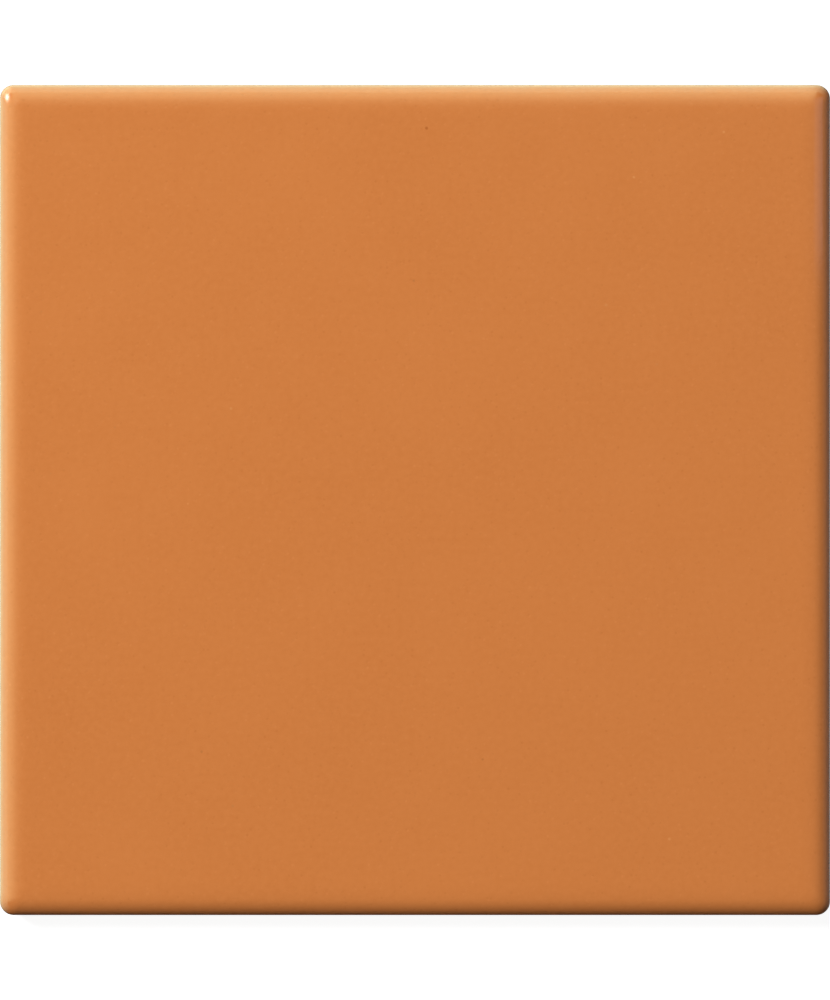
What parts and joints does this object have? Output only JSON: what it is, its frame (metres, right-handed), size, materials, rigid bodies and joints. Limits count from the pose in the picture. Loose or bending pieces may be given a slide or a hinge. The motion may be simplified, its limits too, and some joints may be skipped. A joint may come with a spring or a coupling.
{
  "type": "square glazed wall tile",
  "caption": "Square ceramic wall tile with a plain orange glazed face, cushioned edges and a keyed bisque back, set in adhesive as a wall or backsplash covering.",
  "frame": {"origin": "centre of the back plane, where the tile meets its adhesive bed", "axes": "+Z out of the glazed face, X and Y along the sides"},
  "size_m": [0.108, 0.108, 0.008],
  "materials": {
    "glaze": "gloss"
  },
  "bodies": {
    "root": {"tile": "glaze"}
  },
  "joints": []
}
